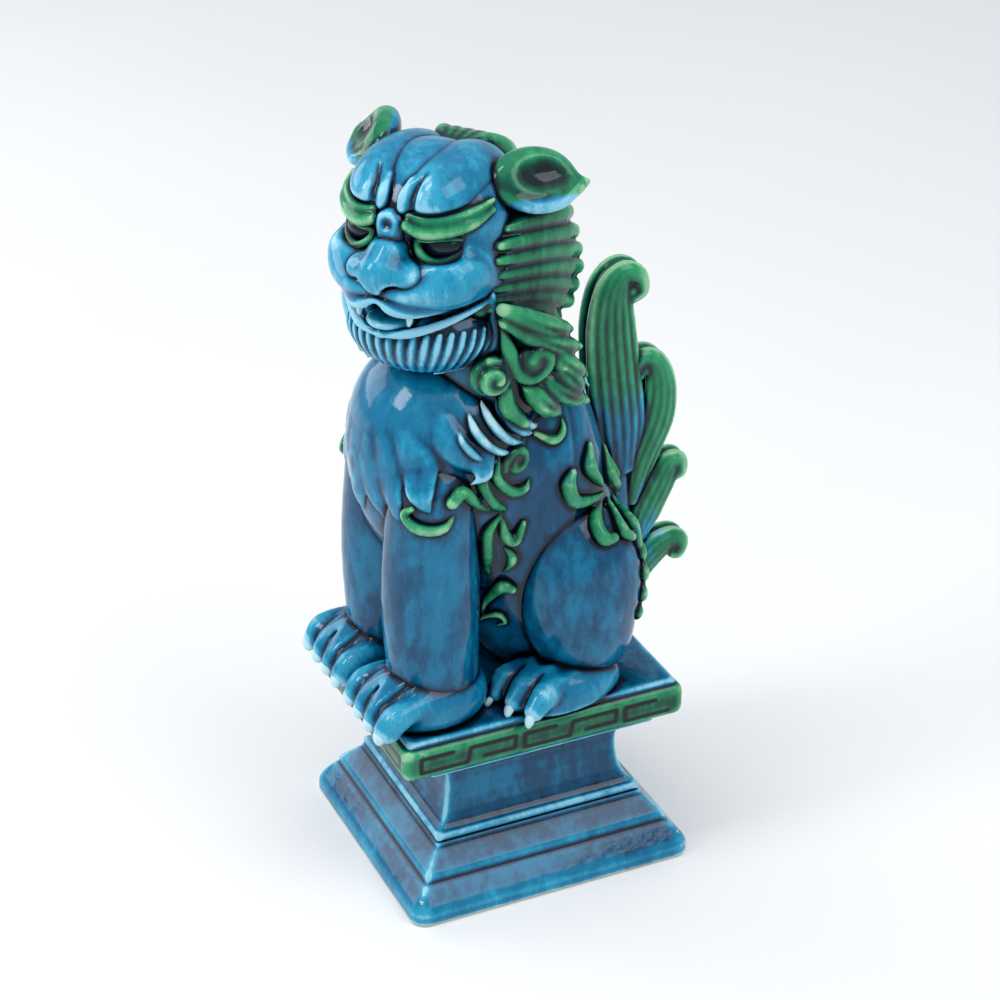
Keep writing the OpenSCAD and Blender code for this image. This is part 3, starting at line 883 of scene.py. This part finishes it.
def give(mesh, name, values):
    mesh.attributes.new(name, "FLOAT", "POINT").data.foreach_set("value", np.asarray(values, np.float32))


fields = {name: clay.field() for name, clay in CLAYS.items()}
first_all = np.min([first for first, _ in fields.values()], axis=0) - 8
last_all = np.max([first + grid.shape for first, grid in fields.values()], axis=0) + 8
body_field = np.full(last_all - first_all, 1.0, np.float32)
for first, grid in fields.values():
    at = tuple(slice(a, a + n) for a, n in zip(first - first_all, grid.shape))
    body_field[at] = np.minimum(body_field[at], grid / STEP)
# How much clay lies about each place, close by and wider: the glazes darken hollows from these, pooled glaze and
# painted shade together.
presence = np.clip(0.5 - body_field, 0, 1).astype(np.float32)
FINE = blurred(presence, 1)
WIDE = blurred(presence, 4)

PIECES = {}


def meshed(name, first, grid):
    volume = openvdb.FloatGrid()
    volume.background = 10.0
    volume.copyFromArray(np.ascontiguousarray(grid, dtype=np.float32))
    points, triangles, quads = volume.convertToPolygons(isovalue=0.0, adaptivity=0.0)
    cells = np.array(points, float) + first
    mesh = bpy.data.meshes.new(name)
    faces = [tuple(f) for f in triangles.tolist()] + [tuple(f) for f in quads.tolist()]
    mesh.from_pydata(((cells * STEP + SHIFT) * MM).tolist(), [], faces)
    mesh.shade_smooth()
    give(mesh, "fine", sampled(FINE, first_all, cells))
    give(mesh, "wide", sampled(WIDE, first_all, cells))
    mesh.update()
    return new_object(name, mesh), cells * STEP


for name, (first, grid) in fields.items():
    PIECES[name], points = meshed(name + "_clay", first, grid)


# ---------- where a piece takes its second colour ----------

def always(value):
    return lambda p: np.full(len(p), value)


def ear_skin(side):
    """Green in the bowl, turquoise on the lower rim and behind."""
    def mask(p):
        q = (p - EARS[side].origin) @ EARS[side].axes
        return np.maximum(np.clip((-5.5 - q[:, 1]) / 3, 0, 1), np.clip((1.5 - q[:, 2]) / 3, 0, 1)) * 0.9
    return mask


def below(z_low, z_high, most=1.0):
    """More of the second colour lower down."""
    return lambda p: most * np.clip((z_high - p[:, 2]) / (z_high - z_low), 0, 1)


def fret_ink(p):
    """1 on the fret's lines, 0 away from them."""
    nearest = np.full(len(p), FAR)
    for a, b in INK_LINES:
        ab = b - a
        t = np.clip((p - a) @ ab / (ab @ ab), 0, 1)[:, None]
        nearest = np.minimum(nearest, np.linalg.norm(p - a - t * ab, axis=1))
    return np.clip(1.35 - nearest, 0, 1)


# Keyed by a piece's name, or by its name without the side where both sides are alike.
SECOND = {"ear_left": ear_skin("left"), "ear_right": ear_skin("right"),
          "top_slab": lambda p: np.clip((SLAB_Z + 1.6 - p[:, 2]) / 1.5, 0, 1),
          "tail_frond_top": below(150, 205, 0.8), "tail_frond_upper": below(120, 165, 0.6),
          "tail_frond_lower": below(112, 145, 0.5), "tail_frond_base": always(0.42),
          "hip_flames": always(0.38), "leg_scrolls": always(0.18), "neck_curls": always(0.18),
          "mane_skirt": always(0.1), "eyelid_left": always(0.1), "crest": always(0.35), "brow": always(0.1)}

# How much thinner than usual, and so paler, the glaze lies on a piece.
THIN = {"cranium": 0.16, "forehead_lobes": 0.10, "nose": 0.10, "upper_lip": 0.06, "chest_bib": 0.06,
        "foreleg": -0.06, "haunch": -0.06, "torso": -0.02, "leg_scrolls": -0.20, "hip_flames": -0.20,
        "neck_curls": -0.10, "shoulder_locks": -0.16, "mane_fan": 0.06, "tail_frond_top": 0.10,
        "tail_frond_upper": 0.10, "tail_frond_lower": 0.08, "tail_frond_base": 0.08}


def looked_up(table, name, otherwise):
    """A table's entry for a piece, or for its kind whichever side it is on."""
    kind = name.removesuffix("_left").removesuffix("_right")
    return table.get(name, table.get(kind, otherwise))


# ---------- nails in rows ----------

def tree_with(name, inputs):
    tree = bpy.data.node_groups.new(name, "GeometryNodeTree")
    tree.interface.new_socket("Geometry", in_out="OUTPUT", socket_type="NodeSocketGeometry")
    for label, kind in inputs:
        tree.interface.new_socket(label, in_out="INPUT", socket_type=kind)
    return tree


def node(tree, kind, settings=None, **sockets):
    """One node: its settings first, then its input sockets by name, each a value or a link's start."""
    made = tree.nodes.new(kind)
    for key, value in (settings or {}).items():
        setattr(made, key, value)
    for key, value in sockets.items():
        socket = made.inputs[int(key[1:])] if key[0] == "_" else made.inputs[key.replace("_", " ")]
        if isinstance(value, bpy.types.NodeSocket):
            tree.links.new(value, socket)
        else:
            socket.default_value = value
    return made


def nail_tree():
    """A row of nails: one on each vertex of a line mesh, along the way that the vertex's attribute points."""
    tree = tree_with("nail_row", [("Places", "NodeSocketGeometry"), ("Size", "NodeSocketVector"),
                                  ("Bend", "NodeSocketFloat"), ("Glaze", "NodeSocketMaterial")])
    given = node(tree, "NodeGroupInput")
    ball_of = node(tree, "GeometryNodeMeshUVSphere", Segments=32, Rings=20, Radius=1.0)
    position = node(tree, "GeometryNodeInputPosition")
    axes = node(tree, "ShaderNodeSeparateXYZ", _0=position.outputs[0])
    times = {"operation": "MULTIPLY"}
    squared = node(tree, "ShaderNodeMath", times, _0=axes.outputs["Y"], _1=axes.outputs["Y"])
    droop = node(tree, "ShaderNodeMath", times, _0=squared.outputs[0], _1=given.outputs["Bend"])
    offset = node(tree, "ShaderNodeCombineXYZ", Z=droop.outputs[0])
    bent = node(tree, "GeometryNodeSetPosition", Geometry=ball_of.outputs["Mesh"], Offset=offset.outputs[0])
    facing = node(tree, "GeometryNodeInputNamedAttribute", {"data_type": "FLOAT_VECTOR"}, Name="facing")
    turn = node(tree, "FunctionNodeAlignRotationToVector", {"axis": "Y"}, Vector=facing.outputs["Attribute"])
    rows = node(tree, "GeometryNodeInstanceOnPoints", Points=given.outputs["Places"],
                Instance=bent.outputs[0], Rotation=turn.outputs[0], Scale=given.outputs["Size"])
    real = node(tree, "GeometryNodeRealizeInstances", Geometry=rows.outputs[0])
    painted = node(tree, "GeometryNodeSetMaterial", Geometry=real.outputs[0], Material=given.outputs["Glaze"])
    smooth = node(tree, "GeometryNodeSetShadeSmooth", _0=painted.outputs[0])
    node(tree, "NodeGroupOutput", _0=smooth.outputs[0])
    return tree


def along_row(name, tree, places, facing, size, bend, material):
    """Runs the tree on a mesh of places, in mm in the stand's frame, and keeps the plain result."""
    seeds = bpy.data.meshes.new(name)
    seeds.from_pydata(((np.array(places) + SHIFT) * MM).tolist(), [], [])
    ways = seeds.attributes.new("facing", "FLOAT_VECTOR", "POINT")
    ways.data.foreach_set("vector", np.array(facing, np.float32).ravel())
    piece = new_object(name, seeds)
    modifier = piece.modifiers.new("row", "NODES")
    modifier.node_group = tree
    sockets = {item.name: item.identifier for item in tree.interface.items_tree if item.in_out == "INPUT"}
    modifier[sockets["Size"]] = [v * MM for v in size]
    modifier[sockets["Bend"]] = bend
    modifier[sockets["Glaze"]] = material
    graph = bpy.context.evaluated_depsgraph_get()
    plain = bpy.data.meshes.new_from_object(piece.evaluated_get(graph))
    piece.modifiers.remove(modifier)
    piece.data = plain
    vertices = np.empty(len(plain.vertices) * 3, np.float32)
    plain.vertices.foreach_get("co", vertices)
    cells = (vertices.reshape(-1, 3) / MM - SHIFT) / STEP
    give(plain, "fine", sampled(FINE, first_all, cells))
    give(plain, "wide", sampled(WIDE, first_all, cells))
    return piece


# ---------- glazes ----------

class Value:
    """A shader socket that can be added, multiplied and so on."""

    def __init__(self, tree, socket):
        self.tree, self.socket = tree, socket

    def math(self, operation, a, b=0.0, clamp=False):
        a, b = (v.socket if isinstance(v, Value) else v for v in (a, b))
        made = node(self.tree, "ShaderNodeMath", {"operation": operation, "use_clamp": clamp}, _0=a, _1=b)
        return Value(self.tree, made.outputs[0])

    def __add__(self, other):
        return self.math("ADD", self, other)

    def __sub__(self, other):
        return self.math("SUBTRACT", self, other)

    def __mul__(self, other):
        return self.math("MULTIPLY", self, other)

    def __truediv__(self, other):
        return self.math("DIVIDE", self, other)

    __radd__, __rmul__ = __add__, __mul__

    def __rsub__(self, other):
        return self.math("SUBTRACT", other, self)

    def __rtruediv__(self, other):
        return self.math("DIVIDE", other, self)

    def clamped(self):
        return self.math("ADD", self, 0.0, clamp=True)

    def smooth(self, low, high):
        """0 below low, 1 above high, smooth between."""
        made = node(self.tree, "ShaderNodeMapRange", {"interpolation_type": "SMOOTHSTEP"},
                    Value=self.socket, From_Min=low, From_Max=high)
        return Value(self.tree, made.outputs["Result"])


class Paint:
    """Builds one material."""

    def __init__(self, name):
        self.material = bpy.data.materials.new(name)
        self.material.use_nodes = True
        self.tree = self.material.node_tree
        self.tree.nodes.clear()
        self.place = node(self.tree, "ShaderNodeTexCoord").outputs["Object"]

    def attribute(self, name):
        made = node(self.tree, "ShaderNodeAttribute", {"attribute_name": name})
        return Value(self.tree, made.outputs["Fac"])

    def noise(self, size_mm, detail=3.0, rough=0.55, stretch=(1, 1, 1), shift=0.0):
        """Noise whose features are about size_mm across, drawn out along the axes by stretch."""
        mapped = node(self.tree, "ShaderNodeMapping", Vector=self.place,
                      Location=(shift, shift * 0.7, shift * 1.3),
                      Scale=tuple(1000 / size_mm / s for s in stretch))
        made = node(self.tree, "ShaderNodeTexNoise", Vector=mapped.outputs[0], Scale=1.0, Detail=detail,
                    Roughness=rough)
        return Value(self.tree, made.outputs["Fac"])

    def specks(self, size_mm, radius):
        """1 in small round dots scattered at about size_mm."""
        mapped = node(self.tree, "ShaderNodeMapping", Vector=self.place, Scale=(1000 / size_mm,) * 3)
        made = node(self.tree, "ShaderNodeTexVoronoi", Vector=mapped.outputs[0], Scale=1.0)
        return 1 - Value(self.tree, made.outputs["Distance"]).smooth(radius * 0.5, radius)

    def mix(self, amount, a, b):
        a, b = (v if isinstance(v, bpy.types.NodeSocket) else (*v, 1.0) for v in (a, b))
        made = node(self.tree, "ShaderNodeMix", {"data_type": "RGBA"}, _0=amount.socket, _6=a, _7=b)
        return made.outputs[2]

    def ramp(self, tone, colours):
        """Colours at even tones from 0 to 1."""
        steps = len(colours) - 1
        result = colours[0]
        for i in range(steps):
            result = self.mix(tone.smooth(i / steps, (i + 1) / steps), result, colours[i + 1])
        return result

    def finished(self, colour, roughness, bump, strength=0.25, distance=0.0004):
        made = node(self.tree, "ShaderNodeBump", Strength=strength, Distance=distance, Height=bump.socket)
        shader = node(self.tree, "ShaderNodeBsdfPrincipled", Base_Color=colour, Roughness=roughness.socket,
                      Normal=made.outputs[0], IOR=1.5, Specular_IOR_Level=0.34)
        node(self.tree, "ShaderNodeOutputMaterial", Surface=shader.outputs[0])
        return self.material


# Painted shade: the deepest creases are mixed to navy and then black, partly glaze pooled thick and partly the
# shade that falls there. Black also marks the fret's lines and the pinholes.
BLACK = (0.003, 0.004, 0.006)
NAVY_POOL_AND_SHADE = (0.001, 0.022, 0.055)
# A glaze's colours, from darkest to palest: the dark end is where it lies thickest and where shade is painted into
# hollows, the pale end where it lies thinnest on ridges.
TURQUOISE = ((0.001, 0.010, 0.032), (0.001, 0.060, 0.145), (0.002, 0.160, 0.310), (0.018, 0.300, 0.480),
             (0.24, 0.58, 0.74))
GREEN = ((0.001, 0.010, 0.010), (0.001, 0.055, 0.035), (0.004, 0.165, 0.075), (0.025, 0.290, 0.125),
         (0.24, 0.54, 0.30))
PALE = ((0.001, 0.02, 0.05), (0.004, 0.09, 0.18), (0.02, 0.24, 0.38), (0.13, 0.44, 0.57), (0.46, 0.72, 0.80))
DARK = ((0.001, 0.002, 0.004), (0.002, 0.008, 0.016), (0.003, 0.02, 0.035), (0.004, 0.03, 0.05))


def glaze(name, colours, other=None, lift=0.0):
    """Glossy glaze: dark in creases, partly where it pools and partly painted shade, navy to black in the deepest;
    pale where it thins on ridges; streaked and pinholed.
    """
    paint = Paint(name)
    fine, wide = paint.attribute("fine"), paint.attribute("wide")
    broad = paint.noise(17, 3, 0.5, (1, 1, 1.8))
    streak = paint.noise(3.4, 4, 0.6, (1, 1, 2.6), 3.1)
    grain = paint.noise(0.9, 2, 0.6, (1, 1, 1.3), 1.7)
    # The tone is lower where clay closes round a place (fine, wide), which is pooled glaze and painted shade in
    # hollows, and higher on ridges where the glaze thins.
    tone = 0.47 + lift + (0.48 - fine) * 4.6 + (0.47 - wide) * 1.2 + (broad - 0.5) * 0.7
    tone = tone + (streak - 0.5) * 0.5 + (grain - 0.5) * 0.12 + paint.attribute("thin")
    tone = tone.clamped()
    colour = paint.ramp(tone, colours)
    if other is not None:
        patch = (paint.attribute("second") + (broad - 0.5) * 0.8 + (streak - 0.5) * 0.5).smooth(0.42, 0.62)
        colour = paint.mix(patch, colour, paint.ramp(tone, other))
    # Painted shade in creases: navy, then black in the deepest, partly glaze pooling there.
    crease = fine + (wide - 0.5) * 0.22 + (streak - 0.5) * 0.05
    colour = paint.mix(crease.smooth(0.528, 0.605), colour, NAVY_POOL_AND_SHADE)
    colour = paint.mix(crease.smooth(0.56, 0.66), colour, BLACK)
    colour = paint.mix(paint.attribute("ink").smooth(0.25, 0.75), colour, BLACK)
    pin = paint.specks(5.2, 0.075)
    colour = paint.mix(pin * 0.7, colour, BLACK)
    bump = paint.noise(4.5, 2, 0.5) * 0.8 + paint.noise(1.3, 2, 0.5) * 0.12 - pin * 0.25
    return paint.finished(colour, 0.09 + (grain - 0.5) * 0.05, bump)


def bare_clay(name):
    paint = Paint(name)
    grain, broad = paint.noise(0.5, 3, 0.7), paint.noise(9, 3)
    colour = paint.mix((broad * 0.7 + grain * 0.3).smooth(0.3, 0.7), (0.50, 0.42, 0.31), (0.68, 0.60, 0.48))
    return paint.finished(colour, 0.65 + (grain - 0.5) * 0.2, grain, 0.5, 0.0002)


GLAZES = {"turquoise_glaze": glaze("turquoise_glaze", TURQUOISE, GREEN),
          "green_glaze": glaze("green_glaze", GREEN, TURQUOISE, -0.08),
          "pale_glaze": glaze("pale_glaze", PALE, TURQUOISE, -0.04),
          "dark_glaze": glaze("dark_glaze", DARK)}
CLAY_BODY = bare_clay("bare_clay")

GREENS = ("top_slab", "brow", "eyelid", "ear", "crest", "mane_fan", "mane_skirt", "neck_curls", "leg_scrolls",
          "hip_flames", "tail_frond_top", "tail_frond_upper", "tail_frond_lower", "tail_frond_base")
# Each piece's slot, where it isn't turquoise.
SLOTS = {"foreclaws": "pale_glaze", "hindclaws": "pale_glaze", "fangs": "pale_glaze",
         "shoulder_locks": "pale_glaze", "eyeball": "dark_glaze", **{name: "green_glaze" for name in GREENS}}


# ---------- rows of nails ----------

NAILS = nail_tree()
places, facing = [], []
for _, where, _ in SIDES:
    for i in range(TOES):
        lean = i - (TOES - 1) / 2
        places.append(where.point((PAW_X + lean * (TOE_PITCH + 0.8), -60.6, 74.4)))
        facing.append(where.axes @ np.array([0.06 * lean, -0.5, -1.0]))
PIECES["foreclaws"] = along_row("foreclaws_row", NAILS, places, facing, (3.2, 3.3, 2.2), 0.2, GLAZES["pale_glaze"])

places, facing = [], []
for _, where, _ in SIDES:
    hind_foot = hind_frame(where)
    for i in (-1, 0, 1):
        places.append(hind_foot.point((i * 9.8, -19.4, 2.6)))
        facing.append(hind_foot.axes @ np.array([0.1 * i, -0.8, -0.8]))
PIECES["hindclaws"] = along_row("hindclaws_row", NAILS, places, facing, (2.2, 3.6, 1.8), 0.3, GLAZES["pale_glaze"])

# ---------- glaze, slots and riding ----------

for name, piece in PIECES.items():
    slot_name = looked_up(SLOTS, name, "turquoise_glaze")
    mesh = piece.data
    if not mesh.materials:
        mesh.materials.append(GLAZES[slot_name])
    count = len(mesh.vertices)
    xyz = np.empty(count * 3, np.float32)
    mesh.vertices.foreach_get("co", xyz)
    xyz = xyz.reshape(-1, 3) / MM - SHIFT
    give(mesh, "second", looked_up(SECOND, name, always(0.0))(xyz))
    give(mesh, "thin", np.full(count, looked_up(THIN, name, 0.0)))
    give(mesh, "ink", fret_ink(xyz) if name == "top_slab" else np.zeros(count))
    if name == "foot_moulding":
        mesh.materials.append(CLAY_BODY)
        centres = np.empty(len(mesh.polygons) * 3, np.float32)
        mesh.polygons.foreach_get("center", centres)
        centres = centres.reshape(-1, 3) / MM - SHIFT
        inner = (np.abs(centres[:, :2]) - FOOT_HALF).max(axis=1) < -WALL + 1.5
        bare = (centres[:, 2] < 0.9) | (inner & (centres[:, 2] < 9.0))
        mesh.polygons.foreach_set("material_index", bare.astype(np.int32))
    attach(piece, "root")
    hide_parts(name)


# ---------- room ----------

def floor_material():
    paint = Paint("studio_floor")
    grain = paint.noise(300, 3)
    colour = paint.mix(grain.smooth(0.3, 0.7), (0.84, 0.845, 0.855), (0.86, 0.865, 0.872))
    return paint.finished(colour, 0.8 + (grain - 0.5) * 0.05, grain, 0.02, 0.0001)


floor_mesh = bpy.data.meshes.new("floor")
floor_mesh.from_pydata([(-6, -6, 0), (6, -6, 0), (6, 6, 0), (-6, 6, 0)], [], [(0, 1, 2, 3)])
floor_mesh.materials.append(floor_material())
floor = new_object("floor", floor_mesh)

world = bpy.data.worlds.new("studio")
world.use_nodes = True
world.node_tree.nodes["Background"].inputs["Color"].default_value = (0.93, 0.96, 1.0, 1.0)
world.node_tree.nodes["Background"].inputs["Strength"].default_value = 0.63
bpy.context.scene.world = world
bpy.context.scene.view_settings.view_transform = "Standard"


def lamp(name, at, aim, size, watts, colour=(1, 1, 1)):
    """A rectangular soft light at a place in metres, aimed at another."""
    data = bpy.data.lights.new(name, "AREA")
    data.shape = "RECTANGLE"
    data.size, data.size_y = size
    data.energy = watts
    data.color = colour
    made = bpy.data.objects.new(name, data)
    made.location = at
    made.rotation_mode = "QUATERNION"
    made.rotation_quaternion = (Vector(aim) - Vector(at)).to_track_quat("-Z", "Y")
    bpy.context.scene.collection.objects.link(made)


# The camera is in front of the lion, round to its left. "right" and "left" here are as it sees them.
CAM_AZ, CAM_EL, CAM_FAR = math.radians(65.36), math.radians(28.76), 0.89946
AIM = Vector((10.65 * MM, (-4.51 + SHIFT[1]) * MM, 142.67 * MM))
BACK = Vector((math.sin(CAM_AZ) * math.cos(CAM_EL), -math.cos(CAM_AZ) * math.cos(CAM_EL), math.sin(CAM_EL)))
TO_RIGHT = Vector((math.cos(CAM_AZ), math.sin(CAM_AZ), 0))
UP = Vector((0, 0, 1))
MIDDLE = Vector((0, 0, 0.15))

KEY = Vector((0.588, 0.365, 0.722))
lamp("left_window", MIDDLE - TO_RIGHT * 0.75 + BACK * 0.35 + UP * 0.45, MIDDLE, (0.26, 0.38), 3.0)
lamp("high_window", MIDDLE - TO_RIGHT * 0.42 + BACK * 0.25 + UP * 1.0, MIDDLE, (0.22, 0.34), 2.2)
lamp("left_panel", MIDDLE + Vector((-0.797, -0.528, 0.295)) * 1.3, MIDDLE, (0.9, 0.6), 4)
lamp("right_panel", MIDDLE + KEY * 1.25, MIDDLE, (0.8, 0.7), 5.2)
lamp("top_panel", MIDDLE + UP * 2.0, MIDDLE, (2.6, 2.6), 9)

camera_data = bpy.data.cameras.new("camera")
camera_data.sensor_width = 36
camera_data.lens = 93.6
camera = bpy.data.objects.new("camera", camera_data)
camera.location = AIM + BACK * CAM_FAR
camera.rotation_mode = "QUATERNION"
camera.rotation_quaternion = (-BACK).to_track_quat("-Z", "Y")
bpy.context.scene.collection.objects.link(camera)
bpy.context.scene.camera = camera
